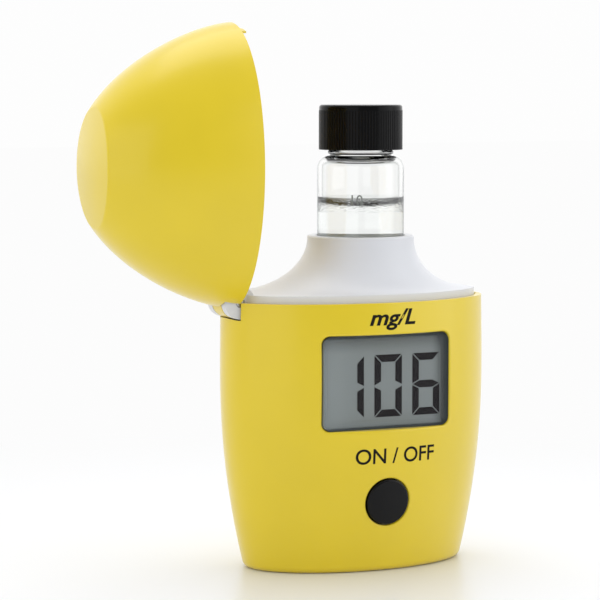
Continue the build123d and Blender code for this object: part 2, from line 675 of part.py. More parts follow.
# Cuvette: a glass vial with a flat bottom, a round shoulder and a neck
vial_inner = VIAL_RADIUS - VIAL_WALL
well_axis = Plane(origin=(WELL_X, 0, 0), x_dir=(1, 0, 0), z_dir=(0, -1, 0))
shoulder_start = shoulder_top - VIAL_SHOULDER_RADIUS
inner_shoulder_radius = VIAL_SHOULDER_RADIUS - VIAL_WALL
with BuildPart() as cuvette_vial:
    with BuildSketch(well_axis):
        with BuildLine():
            foot = VIAL_WALL
            Line((0, vial_bottom), (VIAL_RADIUS - foot, vial_bottom))
            RadiusArc((VIAL_RADIUS - foot, vial_bottom), (VIAL_RADIUS, vial_bottom + foot), -foot)
            Line((VIAL_RADIUS, vial_bottom + foot), (VIAL_RADIUS, shoulder_start))
            bend_end = (VIAL_RADIUS - VIAL_SHOULDER_RADIUS, shoulder_top)
            RadiusArc((VIAL_RADIUS, shoulder_start), bend_end, -VIAL_SHOULDER_RADIUS)
            Line(bend_end, (NECK_RADIUS, shoulder_top))
            Line((NECK_RADIUS, shoulder_top), (NECK_RADIUS, neck_top))
            Line((NECK_RADIUS, neck_top), (NECK_BORE, neck_top))
            Line((NECK_BORE, neck_top), (NECK_BORE, shoulder_top - VIAL_WALL))
            inner_bend = (vial_inner - inner_shoulder_radius, shoulder_top - VIAL_WALL)
            Line((NECK_BORE, shoulder_top - VIAL_WALL), inner_bend)
            RadiusArc(inner_bend, (vial_inner, shoulder_start), inner_shoulder_radius)
            Line((vial_inner, shoulder_start), (vial_inner, vial_bottom + VIAL_BOTTOM))
            Line((vial_inner, vial_bottom + VIAL_BOTTOM), (0, vial_bottom + VIAL_BOTTOM))
            Line((0, vial_bottom + VIAL_BOTTOM), (0, vial_bottom))
        make_face()
    revolve(axis=Axis((WELL_X, 0, 0), (0, 0, 1)))
cuvette_vial.part.label = "cuvette_vial"
export_step(cuvette_vial.part, "parts/cuvette_vial.step")

liquid_bottom = vial_bottom + VIAL_BOTTOM + PIN_RUNNING_GAP
with BuildPart() as sample_liquid:
    add(well_cylinder(vial_inner - PIN_RUNNING_GAP, liquid_bottom, fill_level))
sample_liquid.part.label = "sample_liquid"
export_step(sample_liquid.part, "parts/sample_liquid.step")

# Cap: ribbed all round, hollow, over a soft liner that seals the neck
with BuildPart() as cap:
    with BuildSketch(Plane.XY.offset(cap_bottom)):
        with Locations((WELL_X, 0)):
            Circle(CAP_RADIUS)
            with PolarLocations(CAP_RADIUS + CAP_RIB_DEPTH * 0.6, CAP_RIB_COUNT):
                Circle(CAP_RIB_DEPTH, mode=Mode.SUBTRACT)
    extrude(amount=CAP_HEIGHT - 2 * CAP_EDGE_RADIUS)
    with BuildSketch(Plane.XY.offset(cap_top - 2 * CAP_EDGE_RADIUS)):
        with Locations((WELL_X, 0)):
            Circle(CAP_RADIUS - CAP_RIB_DEPTH / 4)
    extrude(amount=2 * CAP_EDGE_RADIUS)
    fillet(cap.edges().group_by(Axis.Z)[-1], CAP_EDGE_RADIUS)
    with BuildSketch(Plane.XY.offset(cap_bottom)):
        with Locations((WELL_X, 0)):
            Circle(NECK_RADIUS + CAP_THREAD_GAP)
    extrude(amount=CAP_HEIGHT - CAP_TOP, mode=Mode.SUBTRACT)
cap.part.label = "cap"
export_step(cap.part, "parts/cap.step")

with BuildPart() as cap_liner:
    add(well_cylinder(NECK_RADIUS + CAP_THREAD_GAP - LINER_GAP, liner_bottom, liner_top))
cap_liner.part.label = "cap_liner"
export_step(cap_liner.part, "parts/cap_liner.step")

# Display: clear window, display glass, two contact strips and the board
with BuildPart() as display_window:
    with BuildSketch(Plane.XZ.offset(ledge_front)):
        with Locations((0, window_centre)):
            RectangleRounded(WINDOW_WIDTH - FIT, WINDOW_HEIGHT - FIT, WINDOW_CORNER - FIT / 2)
    extrude(amount=WINDOW_THICKNESS)
display_window.part.label = "display_window"
export_step(display_window.part, "parts/display_window.step")
with BuildPart() as display_glass:
    with BuildSketch(Plane.XZ.offset(display_back)):
        with Locations((0, window_centre)):
            Rectangle(DISPLAY_WIDTH, DISPLAY_HEIGHT)
    extrude(amount=DISPLAY_THICKNESS)
display_glass.part.label = "display_glass"
export_step(display_glass.part, "parts/display_glass.step")

with BuildPart() as contact_strips:
    with BuildSketch(Plane.XZ.offset(board_front)):
        offset_up = (DISPLAY_HEIGHT - STRIP_WIDTH) / 2
        with Locations((0, window_centre - offset_up), (0, window_centre + offset_up)):
            Rectangle(DISPLAY_WIDTH - 2 * STRIP_WIDTH, STRIP_WIDTH)
    extrude(amount=STRIP_THICKNESS)
contact_strips.part.label = "contact_strips"
export_step(contact_strips.part, "parts/contact_strips.step")

with BuildPart() as main_board:
    with BuildSketch(Plane.XZ.offset(board_back)):
        with Locations((0, (board_waist + board_top) / 2)):
            Rectangle(BOARD_WIDTH, board_top - board_waist)
        with Locations((0, (board_foot + board_waist) / 2)):
            Rectangle(BOARD_FOOT_WIDTH, board_waist - board_foot)
        for side in (-1, 1):
            for height in (board_screw_bottom, board_screw_top):
                with Locations((side * BOARD_SCREW_X, height)):
                    Circle(BOARD_SCREW_RADIUS + FIT / 2, mode=Mode.SUBTRACT)
    extrude(amount=BOARD_THICKNESS)
main_board.part.label = "main_board"
export_step(main_board.part, "parts/main_board.step")

with BuildPart() as board_screws:
    for side in (-1, 1):
        for height in (board_screw_bottom, board_screw_top):
            with BuildSketch(Plane.XZ.offset(board_front)):
                with Locations((side * BOARD_SCREW_X, height)):
                    Circle(BOARD_SCREW_HEAD)
            extrude(amount=BOARD_SCREW_HEAD_HEIGHT)
            with BuildSketch(Plane.XZ.offset(plate_back)):
                with Locations((side * BOARD_SCREW_X, height)):
                    Circle(BOARD_SCREW_RADIUS)
            extrude(amount=board_front - plate_back)
board_screws.part.label = "board_screws"
export_step(board_screws.part, "parts/board_screws.step")

# Chips on the front of the board, between the display and the button
with BuildPart() as controller_chip:
    with BuildSketch(Plane.XZ.offset(board_front)):
        with Locations((CONTROLLER_X, chip_row)):
            Rectangle(CONTROLLER_SIDE, CONTROLLER_SIDE)
    extrude(amount=CHIP_THICKNESS)
controller_chip.part.label = "controller_chip"
export_step(controller_chip.part, "parts/controller_chip.step")
with BuildPart() as amplifier_chip:
    with BuildSketch(Plane.XZ.offset(board_front)):
        with Locations((AMPLIFIER_X, chip_row)):
            Rectangle(AMPLIFIER_WIDTH, AMPLIFIER_HEIGHT)
    extrude(amount=CHIP_THICKNESS)
amplifier_chip.part.label = "amplifier_chip"
export_step(amplifier_chip.part, "parts/amplifier_chip.step")

# Button: its face follows the body's curve and stands a little proud of it
button_skin = oval_stack(body_levels(0, -BUTTON_PROUD))
flange_back = board_front + SWITCH_THICKNESS + BUTTON_REST_GAP + BUTTON_TRAVEL
with BuildPart() as button_stem:
    with BuildSketch(Plane.XZ.offset(flange_back)):
        with Locations((0, button_height)):
            Circle(BUTTON_RADIUS)
    extrude(amount=BODY_DEPTH / 2 - flange_back + BUTTON_PROUD)
button_body = button_stem.part & button_skin
with BuildPart() as button:
    add(button_body)
    fillet(button.edges().sort_by(Axis.Y)[0], BUTTON_PROUD)
    with BuildSketch(Plane.XZ.offset(flange_back)):
        with Locations((0, button_height)):
            Circle(BUTTON_FLANGE_RADIUS)
    extrude(amount=BUTTON_FLANGE_THICKNESS)
button.part.label = "button"
export_step(button.part, "parts/button.step")

with BuildPart() as switch_body:
    with BuildSketch(Plane.XZ.offset(board_front)):
        with Locations((0, button_height)):
            Rectangle(SWITCH_SIDE, SWITCH_SIDE)
            Circle(PLUNGER_RADIUS + FIT, mode=Mode.SUBTRACT)
    extrude(amount=SWITCH_THICKNESS)
switch_body.part.label = "switch_body"
export_step(switch_body.part, "parts/switch_body.step")

with BuildPart() as switch_plunger:
    with BuildSketch(Plane.XZ.offset(board_front + PIN_RUNNING_GAP + BUTTON_TRAVEL)):
        with Locations((0, button_height)):
            Circle(PLUNGER_RADIUS)
    extrude(amount=flange_back - board_front - PIN_RUNNING_GAP - BUTTON_TRAVEL)
switch_plunger.part.label = "switch_plunger"
export_step(switch_plunger.part, "parts/switch_plunger.step")

# Lamp side: colour filter, lamp with its collar, and the lamp's own board
with BuildPart() as colour_filter:
    with BuildSketch(Plane.YZ.offset(filter_start)):
        with Locations((0, beam_height)):
            Circle(LAMP_RADIUS)
    extrude(amount=FILTER_THICKNESS)
colour_filter.part.label = "colour_filter"
export_step(colour_filter.part, "parts/colour_filter.step")

with BuildPart() as lamp:
    with BuildSketch(Plane.YZ.offset(lamp_start)):
        with Locations((0, beam_height)):
            Circle(LAMP_RADIUS)
    extrude(amount=boss_end - lamp_start)
    fillet(lamp.edges().group_by(Axis.X)[0], LAMP_RADIUS * 0.8)
    with BuildSketch(Plane.YZ.offset(boss_end)):
        with Locations((0, beam_height)):
            Circle(LAMP_RADIUS + LAMP_BOSS_WALL / 2)
    extrude(amount=lamp_end - boss_end)
lamp.part.label = "lamp"
export_step(lamp.part, "parts/lamp.step")

with BuildPart() as lamp_board:
    with BuildSketch(Plane.YZ.offset(lamp_end)):
        with Locations((0, beam_height)):
            RectangleRounded(LAMP_BOARD, LAMP_BOARD, WELL_WALL)
    extrude(amount=SMALL_BOARD_THICKNESS)
lamp_board.part.label = "lamp_board"
export_step(lamp_board.part, "parts/lamp_board.step")

# Detector side, between the well and the cell
with BuildPart() as light_detector:
    with BuildSketch(Plane.YZ.offset(detector_face - DETECTOR_THICKNESS)):
        with Locations((0, beam_height)):
            Rectangle(DETECTOR_SIDE, DETECTOR_SIDE)
    extrude(amount=DETECTOR_THICKNESS)
light_detector.part.label = "light_detector"
export_step(light_detector.part, "parts/light_detector.step")
with BuildPart() as detector_board:
    with BuildSketch(Plane.YZ.offset(detector_face - DETECTOR_THICKNESS - SMALL_BOARD_THICKNESS)):
        with Locations((0, beam_height)):
            Rectangle(DETECTOR_BOARD_WIDTH, DETECTOR_BOARD_HEIGHT)
    extrude(amount=SMALL_BOARD_THICKNESS)
detector_board.part.label = "detector_board"
export_step(detector_board.part, "parts/detector_board.step")

# Screws that hang the frame from the collar, up through its lugs
with BuildPart() as frame_screws:
    for side in (-1, 1):
        screw_x = WELL_X + side * LUG_REACH
        with BuildSketch(Plane.XY.offset(lug_height - SCREW_HEAD_HEIGHT)):
            with Locations((screw_x, 0)):
                Circle(SCREW_HEAD_RADIUS)
        extrude(amount=SCREW_HEAD_HEIGHT)
        with BuildSketch(Plane.XY.offset(lug_height)):
            with Locations((screw_x, 0)):
                Circle(SCREW_RADIUS)
        extrude(amount=SCREW_LENGTH)
        with BuildSketch(Plane.XY.offset(lug_height - SCREW_HEAD_HEIGHT)):
            with Locations((screw_x, 0)):
                Rectangle(2 * SCREW_HEAD_RADIUS, SLOT_WIDTH)
        extrude(amount=SLOT_DEPTH, mode=Mode.SUBTRACT)
frame_screws.part.label = "frame_screws"
export_step(frame_screws.part, "parts/frame_screws.step")

# Battery: one small round cell, its contacts, and the door under it
with BuildPart() as battery_cell:
    with BuildSketch(Plane.XY.offset(CELL_BOTTOM)):
        with Locations((cell_x, 0)):
            Circle(CELL_RADIUS)
    extrude(amount=CELL_LENGTH)
    with BuildSketch(Plane.XY.offset(cell_top)):
        with Locations((cell_x, 0)):
            Circle(CELL_NUB_RADIUS)
    extrude(amount=CELL_NUB_HEIGHT)
battery_cell.part.label = "battery_cell"
export_step(battery_cell.part, "parts/battery_cell.step")

with BuildPart() as top_contact:
    with BuildSketch(Plane.XY.offset(contact_top - CONTACT_THICKNESS)):
        with Locations((cell_x, 0)):
            Circle(CONTACT_RADIUS)
    extrude(amount=CONTACT_THICKNESS)
top_contact.part.label = "top_contact"
export_step(top_contact.part, "parts/top_contact.step")

contact_span = CELL_BOTTOM - door_top - CONTACT_THICKNESS
bend_x = cell_x - CONTACT_REACH
with BuildPart() as bottom_contact:
    with BuildSketch(Plane.XZ.offset(-CONTACT_WIDTH / 2)):
        with BuildLine() as contact_line:
            low = door_top + CONTACT_THICKNESS / 2
            high = CELL_BOTTOM - CONTACT_THICKNESS / 2
            Polyline((cell_x + CONTACT_FOOT, low), (bend_x, low))
            ThreePointArc(
                (bend_x, low),
                (bend_x - contact_span / 2, (low + high) / 2),
                (bend_x, high),
            )
            Polyline((bend_x, high), (cell_x + CONTACT_TIP, high))
        trace(contact_line.line, line_width=CONTACT_THICKNESS)
    extrude(amount=CONTACT_WIDTH)
bottom_contact.part.label = "bottom_contact"
export_step(bottom_contact.part, "parts/bottom_contact.step")

with BuildPart() as battery_door:
    with BuildSketch(Plane.XY.offset(DOOR_RECESS)):
        with Locations((door_left + DOOR_LENGTH / 2, 0)):
            SlotOverall(DOOR_LENGTH - FIT, 2 * DOOR_RADIUS - FIT)
        with Locations((door_screw_x, 0)):
            Circle(SCREW_RADIUS + FIT, mode=Mode.SUBTRACT)
    extrude(amount=DOOR_THICKNESS)
    with BuildSketch(Plane.XY.offset(DOOR_RECESS)):
        with Locations((door_screw_x, 0)):
            Circle(SCREW_HEAD_RADIUS + FIT)
    extrude(amount=DOOR_THICKNESS / 2, mode=Mode.SUBTRACT)
battery_door.part.label = "battery_door"
export_step(battery_door.part, "parts/battery_door.step")

with BuildPart() as door_screw:
    with BuildSketch(Plane.XY.offset(DOOR_RECESS)):
        with Locations((door_screw_x, 0)):
            Circle(SCREW_HEAD_RADIUS)
    extrude(amount=DOOR_THICKNESS / 2)
    with BuildSketch(Plane.XY.offset(DOOR_RECESS + DOOR_THICKNESS / 2)):
        with Locations((door_screw_x, 0)):
            Circle(SCREW_RADIUS)
    extrude(amount=SCREW_LENGTH)
    for turn in (0, 90):
        with BuildSketch(Plane.XY.offset(DOOR_RECESS)):
            with Locations(Location((door_screw_x, 0), turn)):
                Rectangle(1.3 * SCREW_HEAD_RADIUS, SLOT_WIDTH)
        extrude(amount=SLOT_DEPTH * 0.8, mode=Mode.SUBTRACT)
door_screw.part.label = "door_screw"
export_step(door_screw.part, "parts/door_screw.step")
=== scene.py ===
import math

import bpy
from mathutils import Matrix, Vector


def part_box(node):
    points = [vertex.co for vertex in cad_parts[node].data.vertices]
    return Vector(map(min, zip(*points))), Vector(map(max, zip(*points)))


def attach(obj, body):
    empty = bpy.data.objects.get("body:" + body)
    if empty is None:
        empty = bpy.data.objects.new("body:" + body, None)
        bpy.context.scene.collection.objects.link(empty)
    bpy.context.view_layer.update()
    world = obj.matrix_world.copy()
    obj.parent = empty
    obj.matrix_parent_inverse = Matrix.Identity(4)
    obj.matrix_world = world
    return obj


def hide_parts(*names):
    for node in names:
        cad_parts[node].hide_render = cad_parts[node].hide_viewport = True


bl_info = {
    "name": "Pocket colorimeter looks",
    "version": (1, 0, 0),
    "blender": (4, 5, 0),
    "location": "3D View > Sidebar > Colorimeter",
    "description": "Dresses the packed colorimeter: "
                   "finishes, display, cuvette, printing and stage",
    "category": "Object",
}

MM = 0.001
SMOOTH_ANGLE = math.radians(35)

# Sockets that share their name with others on the same node
MIX_SHARE, MIX_FIRST, MIX_SECOND, MIX_RESULT = 0, 6, 7, 2

# How fine each finish's pattern is: the larger the number, the finer the pattern
CLOUD_SCALE = 60
RIPPLE_SCALE = 90
METAL_SCALE = 900
GLASS_SCALE = 120
WATER_SCALE = 1100
RUBBER_SCALE = 1800
WEAVE_SCALE = 1500
FILM_SCALE = 3000
SCUFF_SCALE = 500
GRAIN_SCALE = 2600
TRACKS_ACROSS, TRACKS_UP = 900, 700

# How deep a pattern is, in millimetres
RIPPLE_DEPTH = 0.02
WATER_DEPTH = 0.25

# How strongly light bends in each clear material
WATER_IOR = 1.333
GLASS_IOR = 1.47
RESIN_IOR = 1.5
COVER_IOR = 1.22

# Round forms
ROUND_STEPS = 128
POLE_RADIUS = 0.05 * MM

# Printing: how far it stands off its piece, and from how far it is thrown onto it
INK_LIFT = 0.03 * MM
THROW = 5 * MM

# The vial: its bends, bevels and walls
BEAD_RADIUS = 0.45 * MM
LIP_BEVEL = 0.2 * MM
NECK_WALL = 1.5 * MM
FOOT_HOLLOW = 0.6 * MM
FOOT_HOLLOW_EDGE = 0.35 * MM
FOOT_HOLLOW_SHARE = 0.72
FLOOR_WALLS = 1.3
CORNER_WALLS = 1.2
WETTING = 0.02 * MM
NODE_MARGIN = 0.01 * MM

# The meniscus: its radii as shares of the sample's, how fast it falls away, and its dip
MENISCUS_SHARES = (0.985, 0.95, 0.9, 0.83, 0.74, 0.6, 0.4, 0.2, 0.01)
MENISCUS_FALL = 9
MENISCUS_DIP = 0.28

# The display's layers, from the window's back face outwards
FILM_DEPTH = 0.06 * MM
FILM_INSET = 0.04 * MM
FILM_GAP = 0.01 * MM
FILM_BEVEL = 1.7 * MM
SEGMENT_DEPTH = 0.04 * MM
SEGMENT_LIFT = 0.03 * MM
SEGMENT_GAP = 0.12 * MM

# The stage: the photograph's viewing direction in plan, and each lamp's place and size
VIEW_ACROSS, VIEW_ALONG = 0.43, 0.90
FLOOR_SIZE = 6.0
FLOOR_DROP = 0.03 * MM
FADE_START, FADE_END = 0.035, 0.2
LAMPS = {
    "left": ((-0.55, -0.30, 0.16), 0.7),
    "right": ((0.5, -0.45, 0.2), 0.6),
    "top": ((0.05, 0.1, 0.7), 0.5),
}
LAMP_TARGET = Vector((0, 0, 0.06))

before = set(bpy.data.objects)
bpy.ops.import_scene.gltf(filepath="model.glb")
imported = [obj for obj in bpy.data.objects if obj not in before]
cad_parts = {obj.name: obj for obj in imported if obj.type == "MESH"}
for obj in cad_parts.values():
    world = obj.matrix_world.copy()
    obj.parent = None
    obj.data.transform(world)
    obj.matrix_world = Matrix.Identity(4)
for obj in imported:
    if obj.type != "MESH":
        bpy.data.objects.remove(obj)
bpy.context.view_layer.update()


# Shader nodes as Python expressions


class Wire:
    """A shader socket that takes part in Python expressions."""

    def __init__(self, finish, socket):
        self.finish = finish
        self.socket = socket

    def maths(self, operation, *values):
        """A Math node on this socket and others."""
        settings = {"operation": operation}
        inputs = dict(enumerate((self, *values)))
        return self.finish.node("ShaderNodeMath", settings, inputs)

    def __add__(self, other):
        return self.maths("ADD", other)

    def __radd__(self, other):
        return self.maths("ADD", other)

    def __sub__(self, other):
        return self.maths("SUBTRACT", other)

    def __rsub__(self, other):
        negative = self.maths("MULTIPLY", -1.0)
        return negative.maths("ADD", other)

    def __mul__(self, other):
        return self.maths("MULTIPLY", other)

    def __rmul__(self, other):
        return self.maths("MULTIPLY", other)

    def __pow__(self, other):
        return self.maths("POWER", other)

    def swing(self, amount):
        """How far a value from 0 to 1 is from a half, times an amount."""
        return (self - 0.5) * amount

    def step(self, low, high):
        """0 below low, 1 above high, smooth between."""
        settings = {"interpolation_type": "SMOOTHSTEP"}
        inputs = {"Value": self, "From Min": low, "From Max": high}
        return self.finish.node("ShaderNodeMapRange", settings, inputs)


class Finish:
    """A material, or the world, that is built node by node."""

    def __init__(self, name, owner=None):
        self.owner = owner or bpy.data.materials.new(name)
        self.owner.use_nodes = True
        self.tree = self.owner.node_tree
        self.tree.nodes.clear()

    def node(self, kind, settings=None, inputs=None, output=0):
        """A node of a kind, with its settings and the values or links of its sockets."""
        made = self.tree.nodes.new(kind)
        for name, value in (settings or {}).items():
            setattr(made, name, value)
        for place, value in (inputs or {}).items():
            if isinstance(value, Wire):
                self.tree.links.new(value.socket, made.inputs[place])
            else:
                made.inputs[place].default_value = value
        return Wire(self, made.outputs[output])

    def place(self, scale=(1, 1, 1)):
        """Object coordinates, scaled."""
        coordinates = self.node("ShaderNodeTexCoord", output="Object")
        return self.node("ShaderNodeMapping", None, {"Vector": coordinates, "Scale": scale})

    def axes(self, vector):
        """The three numbers of a vector."""
        parts = self.tree.nodes.new("ShaderNodeSeparateXYZ")
        self.tree.links.new(vector.socket, parts.inputs[0])
        return [Wire(self, socket) for socket in parts.outputs]

    def noise(self, vector, scale, detail=3.0, roughness=0.55):
        """Cloudy noise from 0 to 1."""
        inputs = {"Vector": vector, "Scale": scale, "Detail": detail, "Roughness": roughness}
        return self.node("ShaderNodeTexNoise", None, inputs)

    def ray(self, kind):
        """1 for rays of a kind, such as Camera or Glossy, else 0."""
        return self.node("ShaderNodeLightPath", output=f"Is {kind} Ray")

    def blend(self, share, first, second):
        """A colour between two colours."""
        inputs = {
            MIX_SHARE: share, MIX_FIRST: self.colour(first), MIX_SECOND: self.colour(second),
        }
        return self.node("ShaderNodeMix", {"data_type": "RGBA"}, inputs, output=MIX_RESULT)

    @staticmethod
    def colour(value):
        """A colour with its alpha, or a wire as it is."""
        if isinstance(value, Wire):
            return value
        return (*value[:3], 1.0)

    def bump(self, height, depth, strength=1.0, under=None):
        """A normal from a height that reaches a depth in millimetres."""
        inputs = {"Height": height, "Distance": depth * MM, "Strength": strength}
        if under is not None:
            inputs["Normal"] = under
        return self.node("ShaderNodeBump", None, inputs)

    def surface(self, **inputs):
        """Ends the material with a plain shader, whose sockets are given by name."""
        named = {name.replace("_", " "): value for name, value in inputs.items()}
        named["Base Color"] = self.colour(named["Base Color"])
        return self.output(self.node("ShaderNodeBsdfPrincipled", None, named))

    def lit_through(self, colour, ior, normal):
        """Glass that lets light fall on what is behind it."""
        glass = self.node("ShaderNodeBsdfPrincipled", None, {
            "Base Color": self.colour(colour), "Transmission Weight": 1.0, "Roughness": 0.0,
            "IOR": ior, "Normal": normal,
        })
        clear = self.node("ShaderNodeBsdfTransparent", None, {"Color": self.colour(colour)})
        share = self.ray("Shadow").maths("MAXIMUM", self.ray("Diffuse"))
        mixed = self.node("ShaderNodeMixShader", None, {0: share, 1: glass, 2: clear})
        return self.output(mixed)

    def output(self, shader):
        """Ends the material or the world with a shader."""
        kind = "ShaderNodeOutputMaterial"
        if isinstance(self.owner, bpy.types.World):
            kind = "ShaderNodeOutputWorld"
        end = self.tree.nodes.new(kind)
        self.tree.links.new(shader.socket, end.inputs["Surface"])
        return self.owner


# Finishes, named for what they cover


def moulded_plastic(name, colour, gloss, grain=0.006, tint=0.06, coat=0.0, shine=0.5):
    """Injection-moulded plastic, with slow clouding that is darker by the tint, and a fine
    grain whose depth is in millimetres."""
    finish = Finish(name)
    where = finish.place()
    clouds = finish.noise(where, CLOUD_SCALE, detail=2)
    fine = finish.noise(where, GRAIN_SCALE, detail=3)
    darker = [channel * (1 - tint) for channel in colour]
    shade = finish.blend(clouds.step(0.3, 0.7), darker, colour)
    rough = gloss + clouds.swing(0.08) + fine.swing(0.05)
    normal = finish.bump(fine, grain, strength=0.5)
    ripple = finish.noise(where, RIPPLE_SCALE, detail=1)
    normal = finish.bump(ripple, RIPPLE_DEPTH, strength=0.25, under=normal)
    inputs = {"Base_Color": shade, "Roughness": rough, "Normal": normal}
    inputs["Specular_IOR_Level"] = shine
    if coat:
        inputs["Coat_Weight"] = coat
        inputs["Coat_Roughness"] = 0.22
        inputs["Sheen_Weight"] = 0.2
        inputs["Sheen_Roughness"] = 0.4
    return finish.surface(**inputs)


def turned_metal(name, colour, gloss):
    """Metal with faint machining marks."""
    finish = Finish(name)
    marks = finish.noise(finish.place(scale=(1, 1, 12)), METAL_SCALE, detail=2)
    rough = gloss + marks * 0.15
    normal = finish.bump(marks, 0.004, strength=0.5)
    return finish.surface(Base_Color=colour, Metallic=1.0, Roughness=rough, Normal=normal)


def clear_glass(name, colour, ior, waviness=0.15, edge=None):
    """Clear glass or resin, with a trace of waviness, and darker where it is seen edge-on."""
    finish = Finish(name)
    if edge:
        slant = finish.node("ShaderNodeLayerWeight", None, {"Blend": 0.5}, output="Facing")
        colour = finish.blend(slant.step(0.66, 0.86), colour, edge)
    waves = finish.noise(finish.place(), GLASS_SCALE, detail=1)
    normal = finish.bump(waves, 0.01, strength=waviness)
    return finish.lit_through(colour, ior, normal)


def sample_water(name, colour, level, climb):
    """Water whose surface is finely rippled where it climbs the glass."""
    finish = Finish(name)
    _, _, up = finish.axes(finish.place())
    near = up.step(level - climb, level - climb * 0.6)
    ripples = finish.noise(finish.place(scale=(1, 1, 2.5)), WATER_SCALE, detail=3)
    normal = finish.bump(ripples * near, WATER_DEPTH, strength=0.9)
    return finish.lit_through(colour, WATER_IOR, normal)


def soft_rubber(name, colour):
    """Matt rubber with a powdery grain."""
    finish = Finish(name)
    fine = finish.noise(finish.place(), RUBBER_SCALE, detail=4)
    shade = finish.blend(fine, [channel * 0.8 for channel in colour], colour)
    normal = finish.bump(fine, 0.015, strength=0.6)
    rough = 0.7 + fine.swing(0.15)
    return finish.surface(Base_Color=shade, Roughness=rough, Normal=normal)


def coated_board(name, colour):
    """A circuit board: coated laminate with tracks and pads under the coating."""
    finish = Finish(name)
    where = finish.place()
    across, _, up = finish.axes(where)
    tracks = (across * TRACKS_ACROSS).maths("SINE") * (up * TRACKS_UP).maths("SINE")
    copper = tracks.step(0.55, 0.62)
    shade = finish.blend(copper, colour, [channel * 1.9 for channel in colour])
    weave = finish.noise(where, WEAVE_SCALE, detail=2)
    normal = finish.bump(copper + weave * 0.3, 0.02, strength=0.5)
    rough = 0.32 + weave * 0.12
    return finish.surface(Base_Color=shade, Roughness=rough, Normal=normal)


def display_grey_with_painted_shade(name, light, dark):
    """The display's cell: a grey film, with painted shade deeper towards the top, the right and
    the edges, and painted light on the left.
    """
    finish = Finish(name)
    low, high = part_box("display_window")
    across, _, up = finish.axes(finish.place())
    # Masks for painted shade at the right, the top and the edges, and for painted light at the
    # left
    right = across.step(high.x - 3.5 * MM, high.x - 0.6 * MM)
    top = up.step(high.z - 4.5 * MM, high.z - 0.4 * MM)
    left = 1 - across.step(low.x + 1.0 * MM, low.x + 9.0 * MM)
    right_edge = across.step(high.x - 1.3 * MM, high.x - 0.7 * MM)
    top_edge = up.step(high.z - 1.0 * MM, high.z - 0.3 * MM)
    foot = 1 - up.step(low.z + 0.2 * MM, low.z + 0.6 * MM)
    edges = right_edge + top_edge + foot
    side_shade, edge_shade, painted_left_light, even_shade = 0.4, 0.7, 0.15, 0.35
    # Painted shade: darker at the right, the top and the edges, lighter at the left
    depth = right * side_shade + top * side_shade + edges * edge_shade - left * painted_left_light
    film = finish.noise(finish.place(), FILM_SCALE, detail=1)
    share = depth + even_shade + film.swing(0.06)
    shade = finish.blend(share.maths("MINIMUM", 1.0).maths("MAXIMUM", 0.0), light, dark)
    normal = finish.bump(film, 0.002, strength=0.4)
    return finish.surface(Base_Color=shade, Roughness=0.28, Normal=normal)


def cell_sleeve(name):
    """The battery's plain sleeve: a dark body with a lighter band at the top."""
    finish = Finish(name)
    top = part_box("battery_cell")[1].z
    _, _, up = finish.axes(finish.place())
    band_height, band_blur = 9.0 * MM, 0.2 * MM
    band = up.step(top - band_height, top - band_height + band_blur)
    shade = finish.blend(band, (0.03, 0.03, 0.035), (0.55, 0.42, 0.12))
    scuffs = finish.noise(finish.place(scale=(1, 1, 0.2)), SCUFF_SCALE, detail=4)
    rough = 0.3 + scuffs * 0.15
    normal = finish.bump(scuffs, 0.01, strength=0.3)
    return finish.surface(Base_Color=shade, Roughness=rough, Normal=normal, Metallic=0.4)


# Modelling helpers


def start_clean():
    """Nothing selected and no object being edited."""
    if bpy.context.object and bpy.context.object.mode != "OBJECT":
        bpy.ops.object.mode_set(mode="OBJECT")
    bpy.ops.object.select_all(action="DESELECT")


def pick_by(kind):
    """Sets whether edit mode picks vertices, edges or faces."""
    kinds = ("vertices", "edges", "faces")
    bpy.context.tool_settings.mesh_select_mode = [kind == entry for entry in kinds]


def activate(piece):
    """Only this piece selected and active."""
    start_clean()
    piece.select_set(True)
    bpy.context.view_layer.objects.active = piece


def settle(piece, name, finish, body, smooth=True):
    """Names a finished piece, puts its place in its mesh, and seats it on its body."""
    activate(piece)
    bpy.ops.object.transform_apply(location=True, rotation=True, scale=True)
    piece.name = name
    piece.data.name = name
    piece.data.materials.clear()
    piece.data.materials.append(finish)
    if smooth:
        bpy.ops.object.shade_smooth_by_angle(angle=SMOOTH_ANGLE)
    piece.select_set(False)
    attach(piece, body)


def spun(centre, profile):
    """A ring drawn up into a round form: the profile is radius and height pairs."""
    start_clean()
    pick_by("vertices")
    radius, height = profile[0]
    bpy.ops.mesh.primitive_circle_add(
        vertices=ROUND_STEPS, radius=radius, fill_type="NOTHING", location=(*centre, height)
    )
    piece = bpy.context.object
    bpy.ops.object.mode_set(mode="EDIT")
    bpy.ops.mesh.select_all(action="SELECT")
    for next_radius, next_height in profile[1:]:
        bpy.ops.mesh.extrude_region_move(
            TRANSFORM_OT_translate={"value": (0, 0, next_height - height)}
        )
        ratio = next_radius / radius
        bpy.ops.transform.resize(value=(ratio, ratio, 1))
        radius, height = next_radius, next_height
    bpy.ops.mesh.select_all(action="SELECT")
    bpy.ops.mesh.fill_holes(sides=0)
    face_outwards()
    bpy.ops.object.mode_set(mode="OBJECT")
    return piece


def face_outwards():
    """Turns all faces of the form that is being edited outwards."""
    bpy.ops.mesh.select_all(action="SELECT")
    bpy.ops.mesh.normals_make_consistent(inside=False)


def arc(centre, radius, start, end, steps=6):
    """Points along an arc, angles in degrees from outwards to up."""
    points = []
    for index in range(steps + 1):
        turn = math.radians(start + (end - start) * index / steps)
        points.append((centre[0] + radius * math.cos(turn), centre[1] + radius * math.sin(turn)))
    return points


